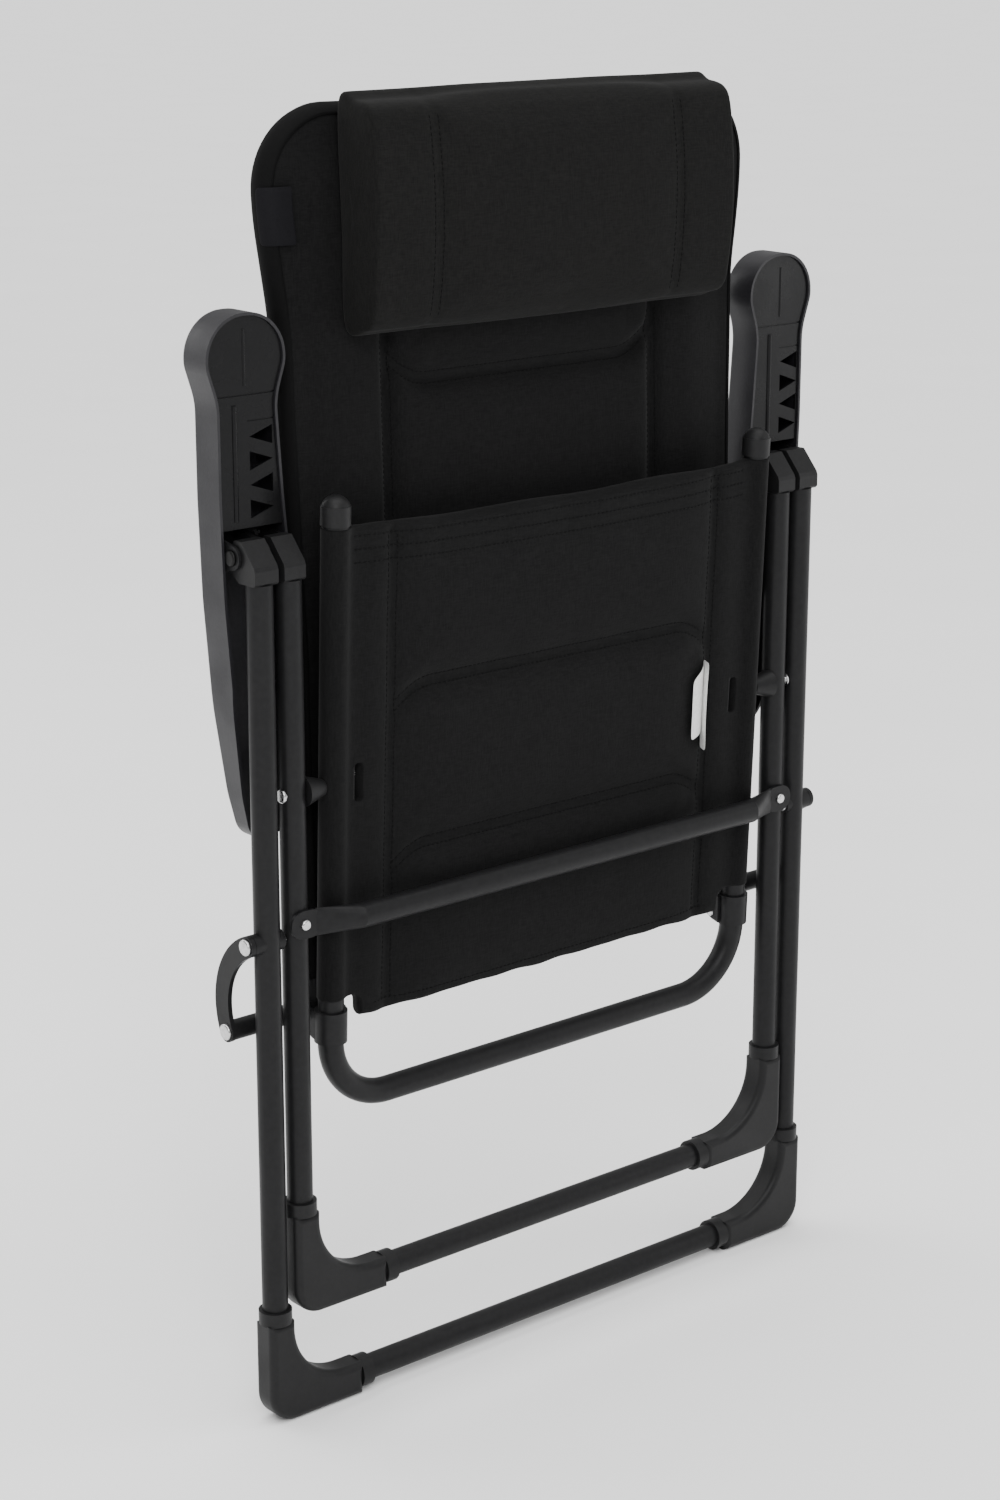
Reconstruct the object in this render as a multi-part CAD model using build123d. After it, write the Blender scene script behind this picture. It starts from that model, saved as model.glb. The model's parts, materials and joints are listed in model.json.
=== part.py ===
"""Folding camp chair, folded and standing upright.

Millimetres. +Z up, +Y to the back of the folded chair, +X to the right as seen from its front.
The origin is on the ground, mid-way between the rear feet and mid-way through the folded depth.
Every shape is first drawn with the leg tubes in the plane Y = 0, then moved by LEG_Y on export.
"left" pieces are at negative X.
"""
import os
from math import cos, radians, sin

from build123d import *

# ---- driving dimensions -------------------------------------------------------------
LEG_Y = -17.0          # leg plane, measured from the middle of the folded depth

TUBE_R = 11.0           # leg and seat tubes
BACK_TUBE_R = 10.0
WALL = 1.5              # wall of every tube
LEG_BEND = 71.0         # centreline radius of the legs' lower corners

REAR_X, REAR_BAR_Z = 302.0, 16.0        # rear leg: outer U frame
FRONT_X, FRONT_BAR_Z = 274.0, 106.0     # front leg: inner U frame
LEG_TOP_Z = 728.0                       # where the leg tubes end inside their plugs

PIN_R = 4.0             # every pivot bolt
PIN_CLEARANCE = 0.05    # radial running clearance round a pivot bolt
HEAD_R, HEAD_T = 7.0, 2.4

ARM_PIVOT = (16.0, 748.0)               # (Y, Z) of each pivot axis, parallel to X
LINK_PIVOT = (0.0, 430.0)
SEAT_PIVOT = (-2.0, 551.0)
BACK_PIVOT = (31.0, 348.0)

SEAT_X = 234.0
SEAT_LEAN = 2.29        # degrees, top of the folded seat leans to the front
SEAT_TOP, SEAT_BAR = 221.0, -286.0      # tube end and closed bar, from the seat pivot
SEAT_BEND = 60.0
SEAT_COVER_TOP, SEAT_COVER_BOTTOM = 215.0, -209.0
SEAT_COVER_HALF = 246.0
PAD_HALF = 13.0         # half thickness of the covers, round the tubes

BACK_LEAN = 1.7         # degrees, top of the folded back leans to the rear
BACK_OUTLINE = ((231.0, 292.0), (237.0, 582.0), (248.5, 657.0), (248.5, 730.0))
BACK_CORNER = 53.0
BACK_COVER_BOTTOM = 26.0
BACK_FRONT_PAD = 20.0   # front face of the padded upper back, from the tube plane

STUD_REACH = 194.0      # from the back pivot to the stud that rides in the armrest
STUD_TIP_X = 257.8

PILLOW_HALF = 195.0
PILLOW_BOTTOM, PILLOW_TOP = 565.0, 747.0
PILLOW_GAP = 0.5

ARM_RIM_Y, ARM_BACK_Y = 22.0, 55.0
ARM_WALL = 2.4
RACK_X = (258.6, 262.6)
RACK_Y = (21.0, 52.6)
NOTCHES = 7
NOTCH_FIRST, NOTCH_LAST = 164.2, 232.0  # from the armrest pivot
NOTCH_R = 4.6


# ---- helpers ------------------------------------------------------------------------
def tube(points, bend, radius, wall=WALL):
    """Hollow tube along a polyline with rounded corners."""
    path = FilletPolyline(*points, radius=bend) if bend else Polyline(*points)
    start = Plane(origin=path @ 0, z_dir=path % 0)
    section = Circle(radius)
    if wall:
        section -= Circle(radius - wall)
    return sweep(start * section, path=path)


def rod(x0, x1, centre, radius):
    """Cylinder along X between two X values, centred on a (Y, Z) point."""
    y, z = centre
    return Pos((x0 + x1) / 2, y, z) * Rot(Y=90) * Cylinder(radius, abs(x1 - x0))


def plate_x(face, x0, x1):
    """A (Y, Z) sketch made into a plate between two X values."""
    return extrude(Plane.YZ.offset(min(x0, x1)) * face, amount=abs(x1 - x0))


def plate_y(face, y0, y1):
    """An (X, Z) sketch made into a plate between two Y values."""
    return extrude(Plane((0, y1, 0), x_dir=(1, 0, 0), z_dir=(0, -1, 0)) * face, amount=y1 - y0)


def box(x, y, z):
    """Box given by its (low, high) along each axis."""
    size = (x[1] - x[0], y[1] - y[0], z[1] - z[0])
    return Pos((x[0] + x[1]) / 2, (y[0] + y[1]) / 2, (z[0] + z[1]) / 2) * Box(*size)


def polygon(*points):
    return make_face(Polyline(*points, close=True))


def disc(centre, radius):
    return Pos(*centre) * Circle(radius)


def right_of(shape):
    return mirror(shape, about=Plane.YZ)


def save(node, *shapes):
    placed = [Pos(0, LEG_Y, 0) * solid for shape in shapes for solid in shape.solids()]
    export_step(placed[0] if len(placed) == 1 else Compound(children=placed), f"parts/{node}.step")


def save_pair(node, left_shape):
    save(f"{node}_left", left_shape)
    save(f"{node}_right", right_of(left_shape))


def in_seat(shape):
    return Pos(0, *SEAT_PIVOT) * Rot(X=SEAT_LEAN) * shape


def in_back(shape):
    return Pos(0, *BACK_PIVOT) * Rot(X=-BACK_LEAN) * shape


# ---- legs ---------------------------------------------------------------------------
def leg_path(half_x, bar_z):
    return ((-half_x, 0, LEG_TOP_Z), (-half_x, 0, bar_z), (half_x, 0, bar_z), (half_x, 0, LEG_TOP_Z))


def leg_tube(half_x, bar_z, holes):
    """U frame with a pair of cross holes through its uprights for each pivot."""
    frame = tube(leg_path(half_x, bar_z), LEG_BEND, TUBE_R)
    for centre in holes:
        for side in (-1, 1):
            frame -= rod(side * half_x - 14, side * half_x + 14, centre, PIN_R)
    return frame


def foot(half_x, bar_z, sole_z):
    """Plastic corner shoe over the bend, hollowed on the inside, with a collar on each arm."""
    arm_z, arm_x = sole_z + 92, -half_x + 84
    side = 13.0
    outline = polygon((-half_x - side, arm_z), (-half_x - side, sole_z), (arm_x, sole_z),
                      (arm_x, bar_z + side), (-half_x + side, bar_z + side), (-half_x + side, arm_z))
    inner = outline.vertices().sort_by(lambda v: abs(v.X + half_x - side) + abs(v.Y - bar_z - side))[0]
    outline = fillet(inner, 56)
    corner = outline.vertices().group_by(Axis.Y)[0].sort_by(Axis.X)[0]
    shoe = plate_y(fillet(corner, 26), -side, side)
    shoe = fillet(shoe.faces().filter_by(Axis.Y).edges(), 6)
    shoe += Pos(-half_x, 0, arm_z + 5) * Cylinder(14.2, 12)
    shoe += rod(arm_x - 1, arm_x + 11, (0, bar_z), 14.2)
    return shoe - tube(leg_path(half_x, bar_z), LEG_BEND, TUBE_R, wall=0)


def leg_plug(leg_x, x0, x1):
    """Plastic head on a leg: a spigot in the tube and a bevelled ear back to the armrest pivot."""
    y, z = ARM_PIVOT
    ear = polygon((-11, LEG_TOP_Z), (-11, LEG_TOP_Z + 14), (7, z + 14), (y, z + 14),
                  (y + 12, z), (y + 6, z - 12), (11, LEG_TOP_Z))
    head = plate_x(ear, x0, x1)
    head = chamfer(head.edges().filter_by(Axis.X).group_by(Axis.Y)[0], 2)
    head += Pos(-leg_x, 0, LEG_TOP_Z - 12) * Cylinder(TUBE_R - WALL, 24.5)
    return head - rod(x0 - 1, x1 + 1, ARM_PIVOT, PIN_R + PIN_CLEARANCE)


def saddle(x0, x1, leg_x, centre):
    """Washer with one face hollowed to sit on a leg tube."""
    washer = rod(x0, x1, centre, 9.0) - rod(x0 - 1, x1 + 1, centre, PIN_R)
    return washer - Pos(leg_x, 0, centre[1]) * Cylinder(TUBE_R, 60)


def rivet(x0, x1, centre, radius=PIN_R, head=HEAD_R):
    """Pin from x0 to x1 with a low round head outside each end."""
    pin = rod(x0, x1, centre, radius)
    for end, way in ((x0, -1), (x1, 1)):
        cap = rod(end, end + way * HEAD_T, centre, head)
        pin += fillet(cap.faces().sort_by(Axis.X)[0 if way < 0 else -1].edges(), 1.6)
    return pin


# ---- build --------------------------------------------------------------------------
os.makedirs("parts", exist_ok=True)

# Rear leg: the outer frame, which the rest hangs on.
save("rear_leg_tube", leg_tube(REAR_X, REAR_BAR_Z, (LINK_PIVOT,)))
save_pair("rear_foot", foot(REAR_X, REAR_BAR_Z, 0.0))
save_pair("rear_leg_plug", leg_plug(REAR_X, -313.6, -290.8))
link_saddles = (saddle(-318.6, -304, -REAR_X, LINK_PIVOT), saddle(-300, -289.4, -REAR_X, LINK_PIVOT))
save("link_saddles", *link_saddles, *(right_of(item) for item in link_saddles))
link_rivet = rivet(-323.4, -289.2, LINK_PIVOT)
save("link_pivot_rivets", link_rivet, right_of(link_rivet))

# Front leg: the inner frame, with a brace across its front.
FRONT_FOOT_SOLE = 91.5
save("front_leg_tube", leg_tube(FRONT_X, FRONT_BAR_Z, (SEAT_PIVOT,)))
save_pair("front_foot", foot(FRONT_X, FRONT_BAR_Z, FRONT_FOOT_SOLE))
save_pair("front_leg_plug", leg_plug(FRONT_X, -285.0, -264.2))

BRACE_Z, BRACE_Y, BRACE_R = 441.6, -24.0, 10.5
BRACE_RIVET_X, TAB_HALF, TAB_T = 273.0, 12.0, 2.8
tab_y = -TUBE_R - TAB_T / 2
brace_middle = tube(((-225, BRACE_Y, BRACE_Z), (225, BRACE_Y, BRACE_Z)), 0, BRACE_R)
end_round = Plane((-225, BRACE_Y, BRACE_Z), x_dir=(0, 1, 0), z_dir=(-1, 0, 0)) * Circle(BRACE_R)
end_flat = Plane((-262, tab_y, BRACE_Z), x_dir=(0, 1, 0), z_dir=(-1, 0, 0)) * Ellipse(TAB_T / 2, TAB_HALF)
brace_neck = loft([end_round, end_flat])
tab = plate_y(Pos(-BRACE_RIVET_X + 2, BRACE_Z) * SlotOverall(2 * TAB_HALF + 8, 2 * TAB_HALF),
              tab_y - TAB_T / 2, tab_y + TAB_T / 2)
brace_left = brace_neck + tab
save("front_brace", brace_middle + brace_left + right_of(brace_left))
rivet_head = Pos(-BRACE_RIVET_X, tab_y - TAB_T / 2 - 1.2, BRACE_Z) * Rot(X=90) * Cylinder(4.5, 2.4)
brace_rivet = fillet(rivet_head.faces().sort_by(Axis.Y)[0].edges(), 1.6)
save("brace_rivets", brace_rivet, right_of(brace_rivet))

# Seat pivots: a tapered spacer between each front leg and the seat tube, with a rivet through them.
nose = Plane((-SEAT_X - TUBE_R - 0.4, *SEAT_PIVOT), z_dir=(-1, 0, 0)) * Circle(7.0)
root = Plane((-FRONT_X + TUBE_R - 2, *SEAT_PIVOT), z_dir=(-1, 0, 0)) * Circle(13.0)
seat_spacer = loft([nose, root]) - rod(-280, -230, SEAT_PIVOT, PIN_R)
seat_spacer -= Pos(-FRONT_X, 0, SEAT_PIVOT[1]) * Cylinder(TUBE_R, 60)
rack_passage = box((-263.2, -258.0), (2.1, 20), (SEAT_PIVOT[1] - 20, SEAT_PIVOT[1] + 20))
rack_passage += box((-263.2, -258.0), (0.6, 20), (SEAT_PIVOT[1] - 20, SEAT_PIVOT[1] - 4.5))
save_pair("seat_pivot_spacer", seat_spacer - rack_passage)
seat_rivet = rivet(-285.4, -221.5, SEAT_PIVOT, head=6.0)
save("seat_pivot_rivets", seat_rivet, right_of(seat_rivet))

# Seat: U tube open at the front end, its cover, end caps and the clamps for the back.
seat_path = ((-SEAT_X, 0, SEAT_TOP), (-SEAT_X, 0, SEAT_BAR), (SEAT_X, 0, SEAT_BAR), (SEAT_X, 0, SEAT_TOP))
seat_tube = in_seat(tube(seat_path, SEAT_BEND, TUBE_R))
seat_solid = in_seat(tube(seat_path, SEAT_BEND, TUBE_R, wall=0))
for side in (-1, 1):
    seat_tube -= rod(side * SEAT_X - 14, side * SEAT_X + 14, SEAT_PIVOT, PIN_R + PIN_CLEARANCE)
save("seat_tube", seat_tube)

cap = Pos(0, 0, SEAT_TOP + 4) * Cylinder(12.5, 16) + Pos(0, 0, SEAT_TOP + 8) * Sphere(12.5)
seat_cap = in_seat(Pos(-SEAT_X, 0, 0) * cap) - seat_solid
save_pair("seat_cap", seat_cap)

cover_mid = (SEAT_COVER_TOP + SEAT_COVER_BOTTOM) / 2
cover_length = SEAT_COVER_TOP - SEAT_COVER_BOTTOM
seat_cover = Pos(0, 0, cover_mid) * Box(2 * SEAT_COVER_HALF, 2 * PAD_HALF, cover_length)
seat_cover = fillet(seat_cover.edges().filter_by(Axis.Z), PAD_HALF - 1)
for side in (-1, 1):
    seat_cover -= Pos(side * SEAT_X, 0, cover_mid) * Cylinder(TUBE_R + 0.2, cover_length + 20)
    notch = (side * SEAT_X - 24, side * SEAT_X + 24)
    seat_cover -= box(notch, (-30, 30), (SEAT_COVER_BOTTOM - 1, SEAT_COVER_BOTTOM + 20))
    slit = (side * 214 - 4, side * 214 + 4)
    seat_cover -= box(slit, (-30, 0), (-17, 17))
seat_cover = in_seat(seat_cover)
for side in (-1, 1):
    seat_cover -= rod(side * 205, side * 260, SEAT_PIVOT, 9.5)
save("seat_cover", seat_cover)
label = box((149, 168), (-PAD_HALF - 1.4, -PAD_HALF - 0.2), (-38, 38))
save("care_label", in_seat(label))

# Clamp: a collar on the seat tube with two cheeks that hold the back's lower end.
CLAMP_BOTTOM, CLAMP_TOP = -226.0, -198.0
collar_mid = (CLAMP_BOTTOM + CLAMP_TOP) / 2
collar = in_seat(Pos(-SEAT_X, 0, collar_mid) * Cylinder(14.0, CLAMP_TOP - CLAMP_BOTTOM))
back_y, back_z = BACK_PIVOT
cheek = polygon((8, back_z - 21), (8, back_z + 4), (20, back_z + 5), (back_y, back_z + 9.5),
                (back_y + 9, back_z), (back_y + 4, back_z - 9), (16, back_z - 19))
cheek = cheek + disc(BACK_PIVOT, 10.0)
clamp = collar + plate_x(cheek, -247.6, -243.4) + plate_x(cheek, -220.5, -217.0)
clamp = clamp - seat_solid - rod(-260, -200, BACK_PIVOT, PIN_R + PIN_CLEARANCE)
save_pair("seat_clamp", clamp)
clamp_rivet = rod(-217, -215, (17, back_z - 13), 3.6)
clamp_rivet = fillet(clamp_rivet.faces().sort_by(Axis.X)[-1].edges(), 1.4)
save("seat_clamp_rivets", clamp_rivet, right_of(clamp_rivet))

# Back pivots: the bolt through clamp and back tube, and the long spacer out to the link.
spacer = rod(-318.5, -247.9, BACK_PIVOT, 8.5) - rod(-330, -240, BACK_PIVOT, PIN_R)
save("back_pivot_spacers", spacer, right_of(spacer))
bolt = rod(-318.0, -216.6, BACK_PIVOT, PIN_R) + rod(-216.6, -213.6, BACK_PIVOT, 6.5)
save("back_pivot_bolts", bolt, right_of(bolt))

# Links: crescent straps between the rear leg and the back pivot, opened at the lower end.
link_arc = ThreePointArc(LINK_PIVOT, (33.0, 394.0), BACK_PIVOT)
strap = plate_x(SlotArc(link_arc, 18.0), -323.0, -319.0)
strap -= rod(-330, -310, LINK_PIVOT, PIN_R + PIN_CLEARANCE)
strap -= rod(-330, -310, BACK_PIVOT, PIN_R)
save_pair("link", strap)
end_rivet = rod(-323.0, -319.0, BACK_PIVOT, PIN_R)
end_head = rod(-323.0 - HEAD_T, -323.0, BACK_PIVOT, HEAD_R)
end_rivet += fillet(end_head.faces().sort_by(Axis.X)[0].edges(), 1.6)
save_pair("link_end_rivet", end_rivet)

# Back: U tube closed at the top, its padded cover, the studs and the blank tab.
half = [(x, z) for x, z in BACK_OUTLINE]
left = [(-BACK_OUTLINE[0][0], 0, 0)] + [(-x, 0, z) for x, z in half]
back_points = left + [(-x, y, z) for x, y, z in reversed(left)]
back_bends = [200, 200, 200, BACK_CORNER, BACK_CORNER, 200, 200, 200]
back_tube = in_back(tube(back_points, back_bends, BACK_TUBE_R))
back_solid = in_back(tube(back_points, back_bends, BACK_TUBE_R + 0.2, wall=0))
for side in (-1, 1):
    x = side * BACK_OUTLINE[0][0]
    knuckle = rod(x - 9.9, x + 9.9, BACK_PIVOT, BACK_TUBE_R)
    back_tube += knuckle
for side in (-1, 1):
    x = side * BACK_OUTLINE[0][0]
    back_tube -= rod(x - 14, x + 14, BACK_PIVOT, PIN_R + PIN_CLEARANCE)
save("back_tube", back_tube)

edge = [(x + PAD_HALF, z + (PAD_HALF if z == BACK_OUTLINE[-1][1] else 0)) for x, z in BACK_OUTLINE]
edge = [(edge[0][0], BACK_COVER_BOTTOM)] + edge
back_face = polygon(*edge, *((-x, z) for x, z in reversed(edge)))
corners = back_face.vertices().group_by(Axis.Y)[-1]
back_face = fillet(corners, BACK_CORNER + PAD_HALF)
side_face = polygon((-PAD_HALF, BACK_COVER_BOTTOM), (-PAD_HALF, 300), (-BACK_FRONT_PAD, 480),
                    (-BACK_FRONT_PAD, 760), (PAD_HALF, 760), (PAD_HALF, BACK_COVER_BOTTOM))
cover = plate_y(back_face, -BACK_FRONT_PAD, PAD_HALF)
cover = cover & plate_x(side_face, -280, 280)
cover = in_back(cover) - back_solid
stud_centre = (BACK_PIVOT[0] + STUD_REACH * sin(radians(BACK_LEAN)),
               BACK_PIVOT[1] + STUD_REACH * cos(radians(BACK_LEAN)))
for side in (-1, 1):
    cover -= rod(side * 232, side * 256, stud_centre, 7.3)
save("back_cover", cover)

stud = rod(-250, -233, stud_centre, 7.0) + rod(-STUD_TIP_X, -250, stud_centre, 4.2)
save_pair("back_stud", stud - back_solid)
tab_top = BACK_OUTLINE[2][1] + 25
name_tab = box((-252, -233), (-BACK_FRONT_PAD - 1.2, -BACK_FRONT_PAD - 0.1), (tab_top - 46, tab_top))
save("name_tab", in_back(name_tab))

# Headrest: a padded bolster with a flap that hooks over the top of the back.
back_of_pillow = -BACK_FRONT_PAD - PILLOW_GAP
bolster = polygon((back_of_pillow, PILLOW_BOTTOM), (back_of_pillow, PILLOW_TOP),
                  (-56, PILLOW_TOP), (-68, 720), (-71.5, 670), (-69, 620), (-58, PILLOW_BOTTOM))
bolster = fillet(bolster.vertices().group_by(Axis.X)[0] + bolster.vertices().group_by(Axis.X)[1], 20)
save("headrest_pillow", in_back(plate_x(bolster, -PILLOW_HALF, PILLOW_HALF)))

top = BACK_OUTLINE[-1][1] + PAD_HALF
flap = box((-120, 120), (back_of_pillow, PAD_HALF + 2.4), (top + 0.4, top + 2.4))
flap += box((-120, 120), (PAD_HALF + 0.4, PAD_HALF + 2.4), (top - 95, top + 2.4))
save("headrest_flap", in_back(flap))

# Armrests: a long channel with its open side to the front, hinge, notched rack and underside lid.
arm_bolt = rivet(-316.8, -261.0, ARM_PIVOT, head=6.5)
save("arm_pivot_bolts", arm_bolt, right_of(arm_bolt))

# (X, Z, corner radius) round the left armrest: wide round front end at the top, narrow tail below.
ARM_OUTLINE = ((-332, 938, 36), (-332, 897, 25), (-322.5, 868, 60), (-322.5, 790, 300), (-320, 709, 300),
               (-313, 620, 300), (-301, 545, 120), (-290, 504, 20), (-259, 504, 12), (-259, 629, 5),
               (-247, 629, 5), (-247, 655, 100), (-260, 789, 300), (-265.5, 868, 60), (-256, 897, 25),
               (-256, 938, 36))
arm_points = [(x, z) for x, z, radius in ARM_OUTLINE]
arm_radii = [radius for x, z, radius in ARM_OUTLINE]
arm_face = make_face(FilletPolyline(*arm_points, radius=arm_radii, close=True))
shell = plate_y(arm_face, ARM_RIM_Y, ARM_BACK_Y)
shell = fillet(shell.faces().sort_by(Axis.Y)[-1].edges(), 4)
hollow = plate_y(offset(arm_face, amount=-ARM_WALL), ARM_RIM_Y - 1, ARM_BACK_Y - ARM_WALL)
shell -= hollow
tip_clear = polygon((ARM_RIM_Y - 1, 640), (ARM_RIM_Y, 640), (ARM_RIM_Y + 14, 500), (ARM_RIM_Y - 1, 500))
shell -= plate_x(tip_clear, -340, -240)
rack_low, rack_high = ARM_PIVOT[1] - NOTCH_LAST - 8, ARM_PIVOT[1] - NOTCH_FIRST + 10
rack_room = box((-RACK_X[1] - 0.2, -RACK_X[0] + 2), (RACK_Y[0] - 5, RACK_Y[1]), (rack_low - 0.2, rack_high + 0.2))
save_pair("armrest_shell", shell - rack_room)

arm_y, arm_z = ARM_PIVOT
floor_y = ARM_BACK_Y - ARM_WALL
leaf = polygon((arm_y, arm_z - 10), (arm_y, arm_z + 10), (floor_y - 2, arm_z + 17), (floor_y - 2, arm_z - 17))
leaf = leaf + disc(ARM_PIVOT, 10.0)
hinge = box((-316.6, -261.2), (floor_y - 2.5, floor_y - 0.1), (arm_z - 17, arm_z + 17))
for x0, x1 in ((-316.6, -314.0), (-290.4, -285.4), (-263.8, -261.2)):
    hinge += plate_x(leaf, x0, x1)
hinge -= rod(-330, -250, ARM_PIVOT, PIN_R + PIN_CLEARANCE)
save_pair("armrest_hinge", hinge)

rack = box((-RACK_X[1], -RACK_X[0]), RACK_Y, (rack_low, rack_high))
for step in range(NOTCHES):
    reach = NOTCH_FIRST + (NOTCH_LAST - NOTCH_FIRST) * step / (NOTCHES - 1)
    rack -= rod(-RACK_X[1] - 1, -RACK_X[0] + 1, (RACK_Y[0] + 1, arm_z - reach), NOTCH_R)
save_pair("armrest_rack", rack)

LID_Y = ARM_RIM_Y + 2.0
RIB_LOW, RIB_HIGH = 773.0, 850.0
rib_step = (RIB_HIGH - RIB_LOW) / 4
lid_face = offset(arm_face, amount=-ARM_WALL - 0.2) & Pos(-295, 855.5) * Rectangle(90, 175)


def lid(window_x, rib_x):
    """Inset underside of the left armrest: cap with a crease, stiffening windows and a long rib."""
    sheet = plate_y(lid_face, LID_Y, LID_Y + 2.4)
    near, far = window_x
    for step in range(4):
        low = RIB_LOW + step * rib_step
        wide, tip = (near, far) if step % 2 else (far, near)
        window = polygon((wide, low + 2), (wide, low + rib_step - 2), (tip, low + rib_step / 2))
        sheet -= plate_y(window, LID_Y - 1, LID_Y + 4)
    sheet -= box((-330, -250), (LID_Y - 1, LID_Y + 1), (873.2, 874.8))
    sheet -= box((min(window_x) - 2, max(window_x) + 2), (LID_Y - 1, LID_Y + 0.8), (852.6, 853.8))
    sheet += Pos(rib_x, LID_Y + 0.6, 820) * Cylinder(2.3, 92)
    return sheet + Pos(-295, LID_Y + 0.6, 903) * Cylinder(1.5, 44)


save("armrest_lid_left", lid((-269.0, -291.0), -305.0))
save("armrest_lid_right", right_of(lid((-318.0, -297.0), -283.0)))

screws = []
for x, z in ((-309, 742), (-309, 757), (-268, 742), (-268, 757)):
    screws.append(Pos(x, floor_y - 3.6, z) * Rot(X=90) * Cylinder(2.6, 2.0))
save("armrest_screws_left", *screws)
save("armrest_screws_right", *(right_of(item) for item in screws))
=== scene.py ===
"""Looks of the folding camp chair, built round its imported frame. Metres, in the row's frame.

Soft pieces are drawn in millimetres in the plane of their own tube frame: X across, Y out of the
plane (negative is the side that faces the front of the folded chair) and V up along the tubes.
"""

import json
import math

import bmesh
import bpy
import numpy as np
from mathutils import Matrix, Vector
from mathutils.bvhtree import BVHTree


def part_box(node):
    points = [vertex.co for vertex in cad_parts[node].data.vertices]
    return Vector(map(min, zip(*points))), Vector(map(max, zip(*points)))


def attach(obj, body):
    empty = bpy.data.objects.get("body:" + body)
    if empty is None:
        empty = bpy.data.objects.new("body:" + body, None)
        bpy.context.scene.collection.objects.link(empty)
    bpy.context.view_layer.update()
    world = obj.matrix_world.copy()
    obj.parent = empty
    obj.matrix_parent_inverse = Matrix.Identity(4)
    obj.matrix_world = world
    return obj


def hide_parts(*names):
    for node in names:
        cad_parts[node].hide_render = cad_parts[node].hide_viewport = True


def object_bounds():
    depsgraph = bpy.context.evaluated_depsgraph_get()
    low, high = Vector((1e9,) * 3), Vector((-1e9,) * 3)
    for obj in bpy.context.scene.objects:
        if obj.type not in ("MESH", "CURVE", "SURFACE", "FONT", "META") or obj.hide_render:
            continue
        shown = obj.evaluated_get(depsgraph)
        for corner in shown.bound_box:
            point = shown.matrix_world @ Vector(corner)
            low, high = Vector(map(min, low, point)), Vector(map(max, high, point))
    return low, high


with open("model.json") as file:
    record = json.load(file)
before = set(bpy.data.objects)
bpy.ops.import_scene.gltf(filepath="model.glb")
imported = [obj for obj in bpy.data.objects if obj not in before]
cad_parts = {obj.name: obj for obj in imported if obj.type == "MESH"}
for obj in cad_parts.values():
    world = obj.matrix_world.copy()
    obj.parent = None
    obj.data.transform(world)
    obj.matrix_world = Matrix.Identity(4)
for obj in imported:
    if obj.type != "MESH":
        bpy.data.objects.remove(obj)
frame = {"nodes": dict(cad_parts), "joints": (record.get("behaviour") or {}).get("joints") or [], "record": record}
cad_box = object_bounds()
nodes = frame["nodes"]
joints = {joint["name"]: joint for joint in frame["joints"]}

MM = 0.001
SEAT_LEAN = 2.29        # degrees, top to the front
BACK_LEAN = -1.7        # degrees, top to the rear
leg_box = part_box("rear_leg_tube")
LEG_Y = (leg_box[0][1] + leg_box[1][1]) / 2


# ---- geometry helpers ---------------------------------------------------------------
class Plane:
    """The plane of a tube frame: a pivot (Y, Z in metres) and a lean about X."""

    def __init__(self, joint, lean):
        self.y, self.z = joints[joint]["pos_m"][1:]
        self.cos, self.sin = math.cos(math.radians(lean)), math.sin(math.radians(lean))

    def world(self, points):
        """(x, y, v) in millimetres to world metres."""
        p = np.asarray(points, float) * MM
        out = np.empty_like(p)
        out[..., 0] = p[..., 0]
        out[..., 1] = self.y + p[..., 1] * self.cos - p[..., 2] * self.sin
        out[..., 2] = self.z + p[..., 1] * self.sin + p[..., 2] * self.cos
        return out

    def local(self, points):
        p = np.asarray(points, float)
        y, z = p[..., 1] - self.y, p[..., 2] - self.z
        out = np.empty_like(p)
        out[..., 0] = p[..., 0]
        out[..., 1] = y * self.cos + z * self.sin
        out[..., 2] = -y * self.sin + z * self.cos
        return out / MM


seat_plane = Plane("seat_fold", SEAT_LEAN)
back_plane = Plane("recline", BACK_LEAN)


def new_object(name, verts, faces, smooth=True):
    mesh = bpy.data.meshes.new(name)
    mesh.from_pydata([tuple(v) for v in verts], [], faces)
    mesh.validate()
    work = bmesh.new()
    work.from_mesh(mesh)
    bmesh.ops.recalc_face_normals(work, faces=work.faces)
    work.to_mesh(mesh)
    work.free()
    if smooth:
        mesh.polygons.foreach_set("use_smooth", [True] * len(mesh.polygons))
    made = bpy.data.objects.new(name, mesh)
    bpy.context.scene.collection.objects.link(made)
    return made


def quad(low, high, i, j):
    """Face between two rows of vertices, which start at low and high, from column i to column j."""
    return low + i, low + j, high + j, high + i


def tube_faces(rows, count):
    """Quads between closed rings of count vertices each."""
    return [quad(row * count, (row + 1) * count, i, (i + 1) % count) for row in range(rows - 1)
            for i in range(count)]


def smoothstep(low, high, value):
    t = np.clip((np.asarray(value, float) - low) / (high - low), 0, 1)
    return t * t * (3 - 2 * t)


def groove(distance, width):
    return np.exp(-(np.asarray(distance, float) / width) ** 2)


def wave_noise(x, v, seed, size):
    """Smooth repeatable unevenness made of a few crossed sine waves, about -1 to 1."""
    draw = np.random.default_rng(seed)
    total = np.zeros(np.broadcast(x, v).shape)
    for _ in range(7):
        angle, phase = draw.uniform(0, 2 * math.pi, 2)
        length = size * draw.uniform(0.6, 1.8)
        total += np.sin(2 * math.pi * (x * math.cos(angle) + v * math.sin(angle)) / length + phase)
    return total / 4


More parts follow.
